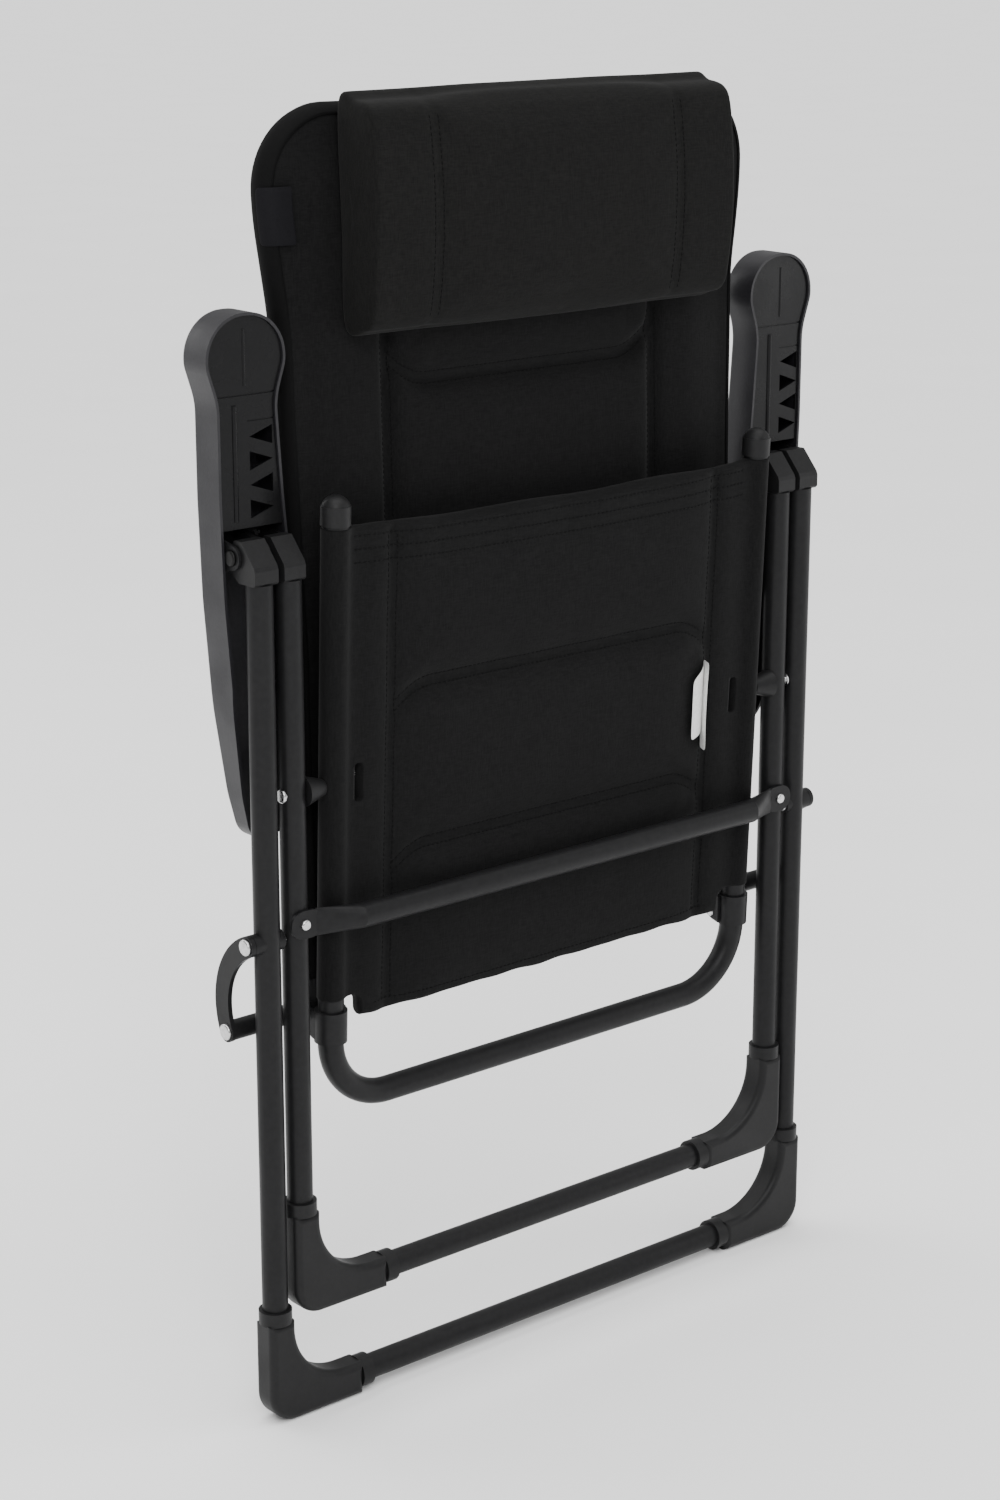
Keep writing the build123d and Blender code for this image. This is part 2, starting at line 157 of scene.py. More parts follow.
def sleeve(name, plane, columns, rows, half_width, arc, front, rear):
    """Closed cover drawn as rings across it: front columns, right edge, rear columns, left edge.

    front(x, v) and rear(x, v) give Y of each face. arc(v) gives the (x, y) points of the right edge.
    """
    rings = []
    for v in rows:
        x = columns * half_width(v)
        edge = arc(v)
        face = np.column_stack([x, front(x, v)])
        behind = np.column_stack([x, rear(x, v)])[::-1]
        left_edge = edge[::-1] * (-1, 1)
        ring = np.vstack([face, edge, behind, left_edge])
        rings.append(np.column_stack([ring, np.full(len(ring), v)]))
    rings = np.array(rings)
    count = rings.shape[1]
    wide, bend = len(columns), (count - 2 * len(columns)) // 2
    faces = tube_faces(len(rows), count)
    for row in (0, len(rows) - 1):
        base = row * count
        for i in range(wide - 1):
            k = wide + bend + (wide - 1 - i)
            faces.append((base + i, base + i + 1, base + k - 1, base + k))
        if bend:
            faces.append([base + wide - 1 + i for i in range(bend + 2)])
            faces.append([base + (2 * wide + bend - 1 + i) % count for i in range(bend + 2)])
    return new_object(name, plane.world(rings.reshape(-1, 3)), faces)


def coordinates(piece):
    """World places of a piece's vertices, one row each."""
    flat = np.empty(len(piece.data.vertices) * 3)
    piece.data.vertices.foreach_get("co", flat)
    return flat.reshape(-1, 3)


def puff(piece, pins, pressure, cap):
    """Inflates a closed piece as cloth. pins is a weight per vertex; cap (mm) limits each point's move."""
    frames = 20
    group = piece.vertex_groups.new(name="pin")
    level = np.round(np.clip(pins, 0, 1) * 10).astype(int)
    for step in range(1, 11):
        group.add([int(i) for i in np.nonzero(level == step)[0]], step / 10, "REPLACE")
    cloth = piece.modifiers.new("cloth", "CLOTH")
    settings = cloth.settings
    settings.quality = 6
    settings.mass = 0.3
    settings.tension_stiffness = settings.compression_stiffness = 15
    settings.shear_stiffness = 5
    settings.bending_stiffness = 1.5
    settings.use_pressure = True
    settings.uniform_pressure_force = pressure
    settings.vertex_group_mass = "pin"
    settings.effector_weights.gravity = 0
    cloth.point_cache.frame_start, cloth.point_cache.frame_end = 1, frames
    scene = bpy.context.scene
    for step in range(1, frames + 1):
        scene.frame_set(step)
    before = coordinates(piece)
    evaluated = piece.evaluated_get(bpy.context.evaluated_depsgraph_get())
    flat = np.empty(len(before) * 3)
    evaluated.data.vertices.foreach_get("co", flat)
    move = flat.reshape(-1, 3) - before
    reach = np.linalg.norm(move, axis=1, keepdims=True)
    limit = cap * MM
    move *= limit * np.tanh(reach / limit) / np.maximum(reach, 1e-9)
    piece.modifiers.remove(cloth)
    piece.vertex_groups.remove(group)
    scene.frame_set(1)
    piece.data.vertices.foreach_set("co", (before + move).ravel())
    piece.data.update()


def refine(piece, levels=1):
    """Adds a subdivision step."""
    step = piece.modifiers.new("smooth", "SUBSURF")
    step.levels = step.render_levels = levels


def cut(piece, cutter):
    """Takes the cutter's volume out of a piece."""
    step = piece.modifiers.new("cut", "BOOLEAN")
    step.operation, step.solver, step.object = "DIFFERENCE", "EXACT", cutter
    apply_all(piece)
    bpy.data.objects.remove(cutter)


def apply_all(piece):
    """Turns a piece's modifiers into plain mesh."""
    evaluated = piece.evaluated_get(bpy.context.evaluated_depsgraph_get())
    mesh = bpy.data.meshes.new_from_object(evaluated)
    piece.modifiers.clear()
    piece.data = mesh
    mesh.polygons.foreach_set("use_smooth", [True] * len(mesh.polygons))


def rounded_block(name, plane, x, y, v, radius):
    """Block with rounded corners in X and V, used to cut slits and notches."""
    mid = np.array([(x[0] + x[1]) / 2, (v[0] + v[1]) / 2])
    half = np.array([(x[1] - x[0]) / 2, (v[1] - v[0]) / 2])
    outline = []
    for corner in range(4):
        sign = np.array([(1, 1), (-1, 1), (-1, -1), (1, -1)][corner])
        for step in range(7):
            angle = math.radians(90 * corner + 15 * step)
            turn = np.array([math.cos(angle), math.sin(angle)])
            outline.append(mid + sign * (half - radius) + radius * turn)
    count = len(outline)
    points = [(p[0], depth, p[1]) for depth in y for p in outline]
    faces = [list(range(count)), list(range(count, 2 * count))]
    faces += [(i, (i + 1) % count, count + (i + 1) % count, count + i) for i in range(count)]
    return new_object(name, plane.world(points), faces, smooth=False)


def drop_on(piece, plane, points, away):
    """Moves (x, v) points along Y onto a piece's face; away is -1 for its front and 1 for its rear."""
    tree = BVHTree.FromObject(piece, bpy.context.evaluated_depsgraph_get())
    ahead = Vector(plane.world((0, -away, 0)) - plane.world((0, 0, 0))).normalized()
    found = []
    for x, v in points:
        start = Vector(plane.world((x, away * 120, v)))
        hit, normal, _, _ = tree.ray_cast(start, ahead)
        if hit is not None:
            found.append((hit, normal))
    return found


def stitches(name, lines, length=3.1, gap=1.5, radius=0.42):
    """Rows of separate thread stitches. Each line is a list of (point, normal) on a surface."""
    verts, faces = [], []
    for line in lines:
        places = np.array([p for p, n in line])
        normals = np.array([n for p, n in line])
        if len(places) < 2:
            continue
        run = np.concatenate([[0], np.cumsum(np.linalg.norm(np.diff(places, axis=0), axis=1))]) / MM
        for start in np.arange(1.0, run[-1] - length, length + gap):
            ends = [np.array([np.interp(s, run, places[:, k]) for k in range(3)])
                    for s in (start, start + length / 2, start + length)]
            up = np.array([np.interp(start, run, normals[:, k]) for k in range(3)])
            up /= max(np.linalg.norm(up), 1e-6)
            along = ends[2] - ends[0]
            along /= max(np.linalg.norm(along), 1e-9)
            across = np.cross(up, along)
            base = len(verts)
            rows = ((ends[0], 0.35, -0.1), (ends[0] * 0.75 + ends[1] * 0.25, 1, 0.25), (ends[1], 1.05, 0.45),
                    (ends[2] * 0.75 + ends[1] * 0.25, 1, 0.25), (ends[2], 0.35, -0.1))
            for place, thick, lift in rows:
                for a in range(5):
                    angle = 2 * math.pi * a / 5
                    offset = across * math.cos(angle) + up * math.sin(angle)
                    verts.append(place + up * lift * radius * MM + offset * radius * thick * MM)
            for row in range(4):
                for a in range(5):
                    b = (a + 1) % 5
                    low, high = base + row * 5, base + row * 5 + 5
                    faces.append((low + a, low + b, high + b, high + a))
            faces.append([base + a for a in range(5)])
            faces.append([base + 20 + a for a in range(5)])
    return new_object(name, verts, faces)


# ---- materials ----------------------------------------------------------------------
def material(name, color, roughness, metallic=0.0, sheen=0.0, coat=0.0, specular=0.5):
    """Starts a material; gives it with its node tree, its shader and its texture coordinates."""
    made = bpy.data.materials.new(name)
    made.use_nodes = True
    tree = made.node_tree
    shader = tree.nodes["Principled BSDF"]
    shader.inputs["Base Color"].default_value = (*color, 1)
    shader.inputs["Roughness"].default_value = roughness
    shader.inputs["Metallic"].default_value = metallic
    shader.inputs["Specular IOR Level"].default_value = specular
    shader.inputs["Sheen Weight"].default_value = sheen
    shader.inputs["Sheen Roughness"].default_value = 0.45
    shader.inputs["Coat Weight"].default_value = coat
    shader.inputs["Coat Roughness"].default_value = 0.3
    where = tree.nodes.new("ShaderNodeTexCoord")
    return made, tree, shader, where


def node(tree, kind, **inputs):
    """New shader node with constant inputs; an underscore in a name stands for a space."""
    made = tree.nodes.new(kind)
    for key, value in inputs.items():
        made.inputs[key.replace("_", " ")].default_value = value
    return made


def noise(tree, where, scale, detail=3.0, roughness=0.5):
    made = node(tree, "ShaderNodeTexNoise", Scale=scale, Detail=detail, Roughness=roughness)
    tree.links.new(where.outputs["Object"], made.inputs["Vector"])
    return made.outputs["Fac"]


def ramp(tree, value, stops):
    made = tree.nodes.new("ShaderNodeValToRGB")
    points = made.color_ramp.elements
    while len(points) < len(stops):
        points.new(0.5)
    for point, (place, color) in zip(points, stops):
        point.position = place
        point.color = (*color, 1) if isinstance(color, tuple) else (color, color, color, 1)
    tree.links.new(value, made.inputs["Fac"])
    return made.outputs["Color"]


def math_node(tree, operation, first, second):
    made = tree.nodes.new("ShaderNodeMath")
    made.operation = operation
    for socket, value in zip(made.inputs, (first, second)):
        if isinstance(value, (int, float)):
            socket.default_value = value
        else:
            tree.links.new(value, socket)
    return made.outputs[0]


def bump(tree, shader, height, distance, strength=1.0, under=None):
    made = node(tree, "ShaderNodeBump", Distance=distance, Strength=strength)
    tree.links.new(height, made.inputs["Height"])
    if under is not None:
        tree.links.new(under, made.inputs["Normal"])
    tree.links.new(made.outputs["Normal"], shader.inputs["Normal"])
    return made.outputs["Normal"]


def stretched(tree, where, scale, along, detail=2.0):
    """Noise drawn out into short threads; along is the axis index that they follow."""
    spread = tree.nodes.new("ShaderNodeMapping")
    spread.inputs["Scale"].default_value = [0.16 if axis == along else 1.0 for axis in range(3)]
    tree.links.new(where.outputs["Object"], spread.inputs["Vector"])
    made = node(tree, "ShaderNodeTexNoise", Scale=scale, Detail=detail, Roughness=0.55)
    tree.links.new(spread.outputs["Vector"], made.inputs["Vector"])
    return made.outputs["Fac"]


def woven(name, low, high, thread=820, sheen=0.03, roughness=0.9):
    """Plain-weave fabric: crossed uneven threads for relief, flecks and slow shading for colour."""
    made, tree, shader, where = material(name, high, roughness, sheen=sheen, specular=0.12)
    warp, weft = stretched(tree, where, thread, 2), stretched(tree, where, thread, 0)
    weave = math_node(tree, "ADD", math_node(tree, "MULTIPLY", warp, 0.5),
                      math_node(tree, "MULTIPLY", weft, 0.5))
    clouds = noise(tree, where, 9, 3.0, 0.6)
    mixed = math_node(tree, "ADD", math_node(tree, "MULTIPLY", weave, 0.7),
                      math_node(tree, "MULTIPLY", clouds, 0.3))
    tree.links.new(ramp(tree, mixed, ((0.4, low), (0.6, high))), shader.inputs["Base Color"])
    rough = ramp(tree, clouds, ((0.3, roughness - 0.06), (0.7, min(roughness + 0.08, 1.0))))
    tree.links.new(rough, shader.inputs["Roughness"])
    crease = bump(tree, shader, noise(tree, where, 55, 4.0, 0.55), 0.0012, 0.35)
    bump(tree, shader, weave, 0.0005, 0.6, under=crease)
    return made


def powder_coat(name, color):
    """Satin powder coat: slight orange peel and a few rubbed, shinier places."""
    made, tree, shader, where = material(name, color, 0.42, specular=0.14, coat=0.02)
    patches = noise(tree, where, 14, 4.0)
    tree.links.new(ramp(tree, patches, ((0.35, 0.36), (0.68, 0.5))), shader.inputs["Roughness"])
    dark = tuple(c * 0.86 for c in color)
    light = tuple(c * 1.14 for c in color)
    tree.links.new(ramp(tree, noise(tree, where, 210, 3.0), ((0.35, dark), (0.7, light))),
                   shader.inputs["Base Color"])
    bump(tree, shader, noise(tree, where, 1300, 2.0), 0.0002, 0.35)
    return made


def moulded(name, color, roughness, specular, grain=900):
    """Moulded plastic with a fine spark-eroded texture, rubbed a little smoother in places."""
    made, tree, shader, where = material(name, color, roughness, specular=specular)
    patches = noise(tree, where, 22, 4.0)
    tree.links.new(ramp(tree, patches, ((0.35, roughness - 0.08), (0.7, roughness + 0.08))),
                   shader.inputs["Roughness"])
    dark = tuple(c * 0.88 for c in color)
    light = tuple(c * 1.12 for c in color)
    tree.links.new(ramp(tree, noise(tree, where, 320, 3.0), ((0.35, dark), (0.7, light))),
                   shader.inputs["Base Color"])
    bump(tree, shader, noise(tree, where, grain, 3.0, 0.6), 0.0002, 0.5)
    return made


def zinc(name, tone=0.6, roughness=0.28):
    made, tree, shader, where = material(name, (tone, tone, tone), roughness, metallic=1.0)
    patches = noise(tree, where, 240, 4.0)
    tree.links.new(ramp(tree, patches, ((0.3, tone * 0.82), (0.7, tone * 1.15))), shader.inputs["Base Color"])
    tree.links.new(ramp(tree, patches, ((0.3, roughness - 0.08), (0.7, roughness + 0.08))),
                   shader.inputs["Roughness"])
    bump(tree, shader, noise(tree, where, 900, 3.0), 0.00012, 0.4)
    return made


def ribbon(name, color, roughness=0.55, sheen=0.0, specular=0.1):
    made, tree, shader, where = material(name, color, roughness, sheen=sheen, specular=specular)
    rib = node(tree, "ShaderNodeTexWave", Scale=2 * math.pi / (20 * 0.8 * MM), Distortion=0.2)
    rib.bands_direction = "Z"
    tree.links.new(where.outputs["Object"], rib.inputs["Vector"])
    dark = tuple(c * 0.85 for c in color)
    tree.links.new(ramp(tree, noise(tree, where, 500, 2.0), ((0.35, dark), (0.65, color))),
                   shader.inputs["Base Color"])
    bump(tree, shader, rib.outputs["Fac"], 0.0002, 0.6)
    return made


PAINT = powder_coat("charcoal_powder_coat", (0.0095, 0.0095, 0.0100))
PLASTIC = moulded("black_nylon", (0.0095, 0.0095, 0.0099), 0.46, 0.18)
ARM_PLASTIC = moulded("armrest_polypropylene", (0.0140, 0.0135, 0.0158), 0.44, 0.3, grain=700)
LID_PLASTIC = moulded("armrest_underside", (0.0052, 0.0052, 0.0056), 0.3, 0.14, grain=500)
ZINC = zinc("zinc_plate")
BOLT = zinc("blackened_steel", 0.018, 0.42)
FABRIC = woven("black_polyester", (0.0030, 0.0030, 0.0031), (0.0068, 0.0068, 0.0069))
# Headrest and flap fabric: the cover fabric made lighter and warmer, painted light standing in for the light
# falling from above on the headrest.
PILLOW_FABRIC_PAINTED_LIGHT = woven("black_polyester_painted_light", (0.0034, 0.0034, 0.0033), (0.0078, 0.0077, 0.0073))
BINDING = ribbon("black_binding", (0.0030, 0.0030, 0.0031), 0.8)
THREAD = ribbon("black_thread", (0.0042, 0.0042, 0.0043), 0.8)
LABEL = ribbon("white_satin", (0.82, 0.82, 0.80), 0.45, sheen=0.3, specular=0.4)
TAB = ribbon("grey_woven_tab", (0.0058, 0.0056, 0.0070), 0.7)

SLOT_MATERIAL = {"frame_paint": PAINT, "foot_plastic": PLASTIC, "arm_plastic": ARM_PLASTIC,
                 "rivet_metal": ZINC, "cover_fabric": FABRIC, "pillow_fabric": PILLOW_FABRIC_PAINTED_LIGHT,
                 "label_fabric": LABEL, "tab_fabric": TAB}
slot_of = {part["node"]: part["material_slot"] for part in frame["record"]["subparts"]}
for name, thing in nodes.items():
    thing.data.materials.clear()
    thing.data.materials.append(SLOT_MATERIAL[slot_of[name]])


nodes["arm_pivot_bolts"].data.materials[0] = BOLT
for word in ("left", "right"):
    nodes[f"armrest_lid_{word}"].data.materials[0] = LID_PLASTIC


def dress(piece, body, finish, replaced=()):
    """Gives a piece its material and body, and hides the CAD nodes it stands for."""
    piece.data.materials.clear()
    piece.data.materials.append(finish)
    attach(piece, body)
    if replaced:
        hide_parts(*replaced)


# ---- seat cover ---------------------------------------------------------------------
SEAT_TUBE_X, SLEEVE_R = 234.0, 12.3
SEAT_TOP, SEAT_BOTTOM = 215.0, -209.0
SEAT_SEAM_X = 180.0
STITCH_STEP = 6.0           # spacing of the points that stitch rows are laid through
SEAT_STITCH = 4.5           # stitch rows each side of a seat seam
UPPER_SEAM, LOWER_SEAM = 74.0, -67.0     # cross seams, from the seat pivot
HEM_ROWS = (8.0, 19.0, 30.0)             # stitched rows below the seat's top edge
HEM_SAG = 4.5


def seat_cross_seam(x, level):
    """Height of a cross seam at x: level in the middle, turning down towards its ends."""
    return level - 21 * np.clip((np.abs(x) - 138) / 42, 0, 1) ** 2


def seat_face(x, v, full):
    """Distance of a face from the tube plane."""
    side = np.abs(x)
    hem = 1 - np.sqrt(1 - np.clip(1 - (SEAT_TOP - v) / 7, 0, 1) ** 2 * 0.92)
    foot = 1 - np.sqrt(1 - np.clip(1 - (v - SEAT_BOTTOM) / 5, 0, 1) ** 2 * 0.92)
    wrap = np.where(side > SEAT_TUBE_X - SLEEVE_R,
                    np.sqrt(np.maximum(SLEEVE_R ** 2 - (SEAT_TUBE_X - side) ** 2, 0)), 0)
    flat = 6.4 + (full - 6.4) * smoothstep(SEAT_SEAM_X + 2, SEAT_SEAM_X - 34, side)
    flat = flat + 1.2 * groove(side - 196, 9)
    wrap = np.maximum(wrap, 6.2 * smoothstep(SEAT_TUBE_X - 2, SEAT_TUBE_X - 14, side))
    blend = smoothstep(SEAT_TUBE_X - 2, SEAT_TUBE_X - 22, side)
    depth = wrap * (1 - blend) + flat * blend
    inside = side < SEAT_SEAM_X
    for level in (UPPER_SEAM, LOWER_SEAM):
        gap = v - seat_cross_seam(x, level)
        depth = depth - inside * (depth - 3.4) * groove(gap, 8.5)
        depth = depth + inside * 1.1 * groove(gap + 17, 11)
    depth = depth - (depth - 3.2) * groove(side - SEAT_SEAM_X, 4.5)
    for row in HEM_ROWS:
        depth = depth - 1.1 * groove(v - (SEAT_TOP - row), 2.6) * (side < SEAT_TUBE_X - 8)
    depth = depth + 0.5 * wave_noise(x, v, 5, 90) * (side < SEAT_TUBE_X - 12)
    middle = side < SEAT_TUBE_X - 12
    return np.where(middle, depth * (1 - np.maximum(hem, foot)), depth)


def seat_edge(v):
    turn = np.radians(np.linspace(-90, 90, 15)[1:-1])
    return np.column_stack([SEAT_TUBE_X + SLEEVE_R * np.cos(turn), SLEEVE_R * np.sin(turn)])


columns = np.linspace(-1, 1, 97)
rows = np.concatenate([[SEAT_BOTTOM, SEAT_BOTTOM + 1.2, SEAT_BOTTOM + 3],
                       np.arange(SEAT_BOTTOM + 6, SEAT_TOP - 7, 5.0),
                       [SEAT_TOP - 6, SEAT_TOP - 4, SEAT_TOP - 2, SEAT_TOP - 0.8, SEAT_TOP]])
seat_cover = sleeve("seat_cover_cloth", seat_plane, columns, rows, lambda v: SEAT_TUBE_X, seat_edge,
                    lambda x, v: -seat_face(x, v, 10.4), lambda x, v: seat_face(x, v, 9.6))
place = seat_plane.local(coordinates(seat_cover))
side = np.abs(place[:, 0])
near_hem = smoothstep(SEAT_TOP - 70, SEAT_TOP, place[:, 2]) * smoothstep(226, 205, side)
place[:, 2] -= near_hem * (HEM_SAG * (1 - (side / 232) ** 2) + 0.8 * np.sin(place[:, 0] / 23) + 0.5)
place[:, 1] += near_hem * 1.5 * wave_noise(place[:, 0], place[:, 2], 8, 130)
near_foot = smoothstep(SEAT_BOTTOM + 30, SEAT_BOTTOM, place[:, 2]) * smoothstep(212, 196, side)
place[:, 2] += near_foot * 1.6 * wave_noise(place[:, 0], 0 * side, 9, 60)
seat_cover.data.vertices.foreach_set("co", seat_plane.world(place).ravel())
seams = groove(side - SEAT_SEAM_X, 5)
for level in (UPPER_SEAM, LOWER_SEAM):
    seams = np.maximum(seams, groove(place[:, 2] - seat_cross_seam(place[:, 0], level), 6)
                       * (side < SEAT_SEAM_X))
seams = np.maximum(seams, smoothstep(204, 222, side))
seams = np.maximum(seams, smoothstep(SEAT_TOP - 40, SEAT_TOP - 26, place[:, 2]))
seams = np.maximum(seams, smoothstep(SEAT_BOTTOM + 14, SEAT_BOTTOM + 4, place[:, 2]))
puff(seat_cover, seams, pressure=3.0, cap=2.6)
refine(seat_cover)
apply_all(seat_cover)

for sign in (-1, 1):
    notch_x = (sign * 232 - 26, sign * 232 + 26)
    cut(seat_cover, rounded_block("notch", seat_plane, notch_x, (-30, 30), (-240, -187), 12))
    slit_x = (sign * 213 - 4.2, sign * 213 + 4.2)
    cut(seat_cover, rounded_block("slit", seat_plane, slit_x, (-30, 2), (-17, 16), 3))
dress(seat_cover, "seat", FABRIC, ("seat_cover",))
for sign, word in ((-1, "left"), (1, "right")):
    verts, faces = [], []
    for ring, (radius, out) in enumerate(((2.9, 1.9), (2.9, 0.4), (2.2, -0.4), (1.1, -0.8), (0.3, -0.9))):
        for a in np.linspace(0, 2 * math.pi, 16, endpoint=False):
            verts.append((sign * 213 + radius * math.cos(a), out, 6 + radius * math.sin(a)))
    faces += tube_faces(5, 16)
    faces += [list(range(16)), list(range(64, 80))]
    dress(new_object(f"slit_rivet_{word}", seat_plane.world(verts), faces), "seat", ZINC)


def seam_lines(piece, plane, curves, away):
    """Lays each (x, v) curve on the piece's front (away -1) or rear (away 1)."""
    return [drop_on(piece, plane, curve, away) for curve in curves]


heights = np.arange(SEAT_BOTTOM + 8, SEAT_TOP - 4, STITCH_STEP)
seat_curves = []
for sign in (-1, 1):
    for shift in (-SEAT_STITCH, SEAT_STITCH):
        seat_curves.append([(sign * SEAT_SEAM_X + shift, v) for v in heights])
across = np.arange(-SEAT_SEAM_X + 4, SEAT_SEAM_X - 3, STITCH_STEP)
for level in (UPPER_SEAM, LOWER_SEAM):
    for shift in (-SEAT_STITCH, SEAT_STITCH):
        seat_curves.append([(x, seat_cross_seam(x, level) + shift) for x in across])
wide = np.arange(-220, 221, STITCH_STEP)
for row in HEM_ROWS:
    seat_curves.append([(x, SEAT_TOP - row - HEM_SAG * (1 - (x / 232) ** 2)) for x in wide])
seat_curves.append([(x, SEAT_BOTTOM + 10) for x in np.arange(-196, 197, 6)])
lines = seam_lines(seat_cover, seat_plane, seat_curves, -1)
lines += seam_lines(seat_cover, seat_plane, seat_curves, 1)
dress(stitches("seat_stitching", lines), "seat", THREAD)


# ---- back cover ---------------------------------------------------------------------
BACK_EDGE = ((26.0, 244.0), (292.0, 244.0), (582.0, 250.0), (657.0, 261.5), (743.0, 261.5))
BACK_TOP, BACK_BOTTOM, BACK_CORNER = 743.0, 26.0, 66.0
BACK_HALF = BACK_EDGE[-1][1]
BACK_SEAM_X, BACK_SEAM_V = 147.0, 518.0
ROLL = 13.0


def back_half(v):
    """Half width of the cover, its upper corners rounded."""
    fine = np.linspace(-18, 18, 7)
    wide_at = np.mean([np.interp(v + s, [p[0] for p in BACK_EDGE], [p[1] for p in BACK_EDGE]) for s in fine])
    rise = v - (BACK_TOP - BACK_CORNER)
    if rise > 0:
        wide_at = BACK_HALF - BACK_CORNER + math.sqrt(max(BACK_CORNER ** 2 - rise ** 2, 0))
    return wide_at


def back_inset(x, v):
    """How far inside the cover's outline a point is."""
    side = np.abs(x)
    inset = np.minimum(back_half(v) - side, np.minimum(BACK_TOP - v, (v - BACK_BOTTOM) * 2.4))
    rise = v - (BACK_TOP - BACK_CORNER)
    if rise > 0:
        out = side - (BACK_HALF - BACK_CORNER)
        inset = np.where(out > 0, BACK_CORNER - np.hypot(np.maximum(out, 0), rise), inset)
    return np.maximum(inset, 0)


def back_cross_seam(x):
    return BACK_SEAM_V + 24 * np.clip((np.abs(x) - 104) / 43, 0, 1) ** 2


def back_front(x, v):
    side = np.abs(x)
    inset = back_inset(x, v)
    roll = np.sqrt(1 - (1 - np.minimum(inset, ROLL) / ROLL) ** 2)
    pad = 12.2 + 4.6 * smoothstep(250, 470, v)
    depth = 12.4 + (pad - 12.4) * smoothstep(16, 70, inset) + 1.3 * groove(inset - 62, 26)
    depth = depth - (depth - 6.5) * groove(side - BACK_SEAM_X, 5.5) * (v < 735)
    gap = v - back_cross_seam(x)
    depth = depth - (side < BACK_SEAM_X) * (depth - 6.8) * groove(gap, 8)
    depth = depth + 0.7 * wave_noise(x, v, 11, 120) * smoothstep(14, 40, inset)
    return -depth * roll


def back_rear(x, v):
    inset = back_inset(x, v)
    roll = np.sqrt(1 - (1 - np.minimum(inset, ROLL) / ROLL) ** 2)
    depth = 12.4 - 3.0 * smoothstep(14, 90, inset)
    depth = depth + 0.5 * wave_noise(x, v, 12, 140) * smoothstep(20, 60, inset)
    depth = depth - 2.2 * groove(np.abs(x) - BACK_SEAM_X, 5)
    return depth * roll


edge_steps = 1 - 13 / 250 * (1 - np.sin(np.linspace(0, 1, 8)[1:] * math.pi / 2))
inner = np.linspace(-edge_steps[0] + 0.02, edge_steps[0] - 0.02, 95)
columns = np.concatenate([-edge_steps[::-1], inner, edge_steps])
top_steps = BACK_TOP - 13 * (1 - np.sin(np.linspace(0, 0.985, 9) * math.pi / 2))
foot_steps = [BACK_BOTTOM + 0.2, BACK_BOTTOM + 1.2, BACK_BOTTOM + 3]
rows = np.concatenate([foot_steps, np.arange(32, 726, 5.2), top_steps])
back_cover = sleeve("back_cover_cloth", back_plane, columns, rows, back_half, lambda v: np.zeros((0, 2)),
                    back_front, lambda x, v: back_rear(x, v) + 0.05)
place = back_plane.local(coordinates(back_cover))
inset = np.array([float(back_inset(np.array([x]), v)[0]) for x, y, v in place])
side = np.abs(place[:, 0])
is_front = place[:, 1] < 0
seams = groove(side - BACK_SEAM_X, 6) * is_front
cross = groove(place[:, 2] - back_cross_seam(place[:, 0]), 7)
seams = np.maximum(seams, cross * (side < BACK_SEAM_X) * is_front)
seams = np.maximum(seams, smoothstep(30, 14, inset))
puff(back_cover, seams, pressure=3.0, cap=3.0)
refine(back_cover)
apply_all(back_cover)
dress(back_cover, "back", FABRIC, ("back_cover",))

# bound edge: a ribbon folded over the outline
outline = [(-back_half(v), v) for v in np.arange(BACK_BOTTOM + 4, BACK_TOP - BACK_CORNER, 6)]
for angle in np.linspace(0, 90, 16):
    turn = math.radians(angle)
    outline.append((-(BACK_HALF - BACK_CORNER) - BACK_CORNER * math.cos(turn),
                    BACK_TOP - BACK_CORNER + BACK_CORNER * math.sin(turn)))
outline += [(x, BACK_TOP) for x in np.arange(-180, 1, 12)]
outline += [(-x, v) for x, v in reversed(outline[:-1])]
outline = np.array(outline)
ahead = np.gradient(outline, axis=0)
ahead /= np.linalg.norm(ahead, axis=1, keepdims=True)
inward = np.column_stack([ahead[:, 1], -ahead[:, 0]])
verts = []
profile = []
for angle in np.linspace(-72, 72, 13):
    turn = math.radians(angle)
    profile.append((ROLL - (ROLL + 0.7) * math.cos(turn), (ROLL + 0.7) * math.sin(turn)))
for angle in np.linspace(72, -72, 13):
    turn = math.radians(angle)
    profile.append((ROLL - (ROLL - 0.4) * math.cos(turn), (ROLL - 0.4) * math.sin(turn)))
for (x, v), (ix, iv) in zip(outline, inward):
    swell = 0.5 * float(wave_noise(np.array(x), np.array(v), 31, 70))
    for depth, out in profile:
        verts.append((x + ix * (depth + swell), out * (1 + 0.02 * swell), v + iv * (depth + swell)))
count = len(profile)
faces = tube_faces(len(outline), count)
faces += [list(range(count)), [(len(outline) - 1) * count + i for i in range(count)]]
binding = new_object("back_binding", back_plane.world(verts), faces)
dress(binding, "back", BINDING)

heights = np.arange(BACK_BOTTOM + 8, 560, 6)
back_curves = []
for sign in (-1, 1):
    for shift in (-4.8, 4.8):
        back_curves.append([(sign * BACK_SEAM_X + shift, v) for v in heights])
across = np.arange(-BACK_SEAM_X + 5, BACK_SEAM_X - 4, 6)
for shift in (-5, 5):
    back_curves.append([(x, float(back_cross_seam(x)) + shift) for x in across])
lines = seam_lines(back_cover, back_plane, back_curves, -1)
lines += seam_lines(back_cover, back_plane, back_curves[:4], 1)
hem_rows = [[(x, BACK_BOTTOM + row) for x in np.arange(-214, 215, 6)] for row in (8, 16)]
lines += seam_lines(back_cover, back_plane, hem_rows, -1) + seam_lines(back_cover, back_plane, hem_rows, 1)
dress(stitches("back_stitching", lines), "back", THREAD)

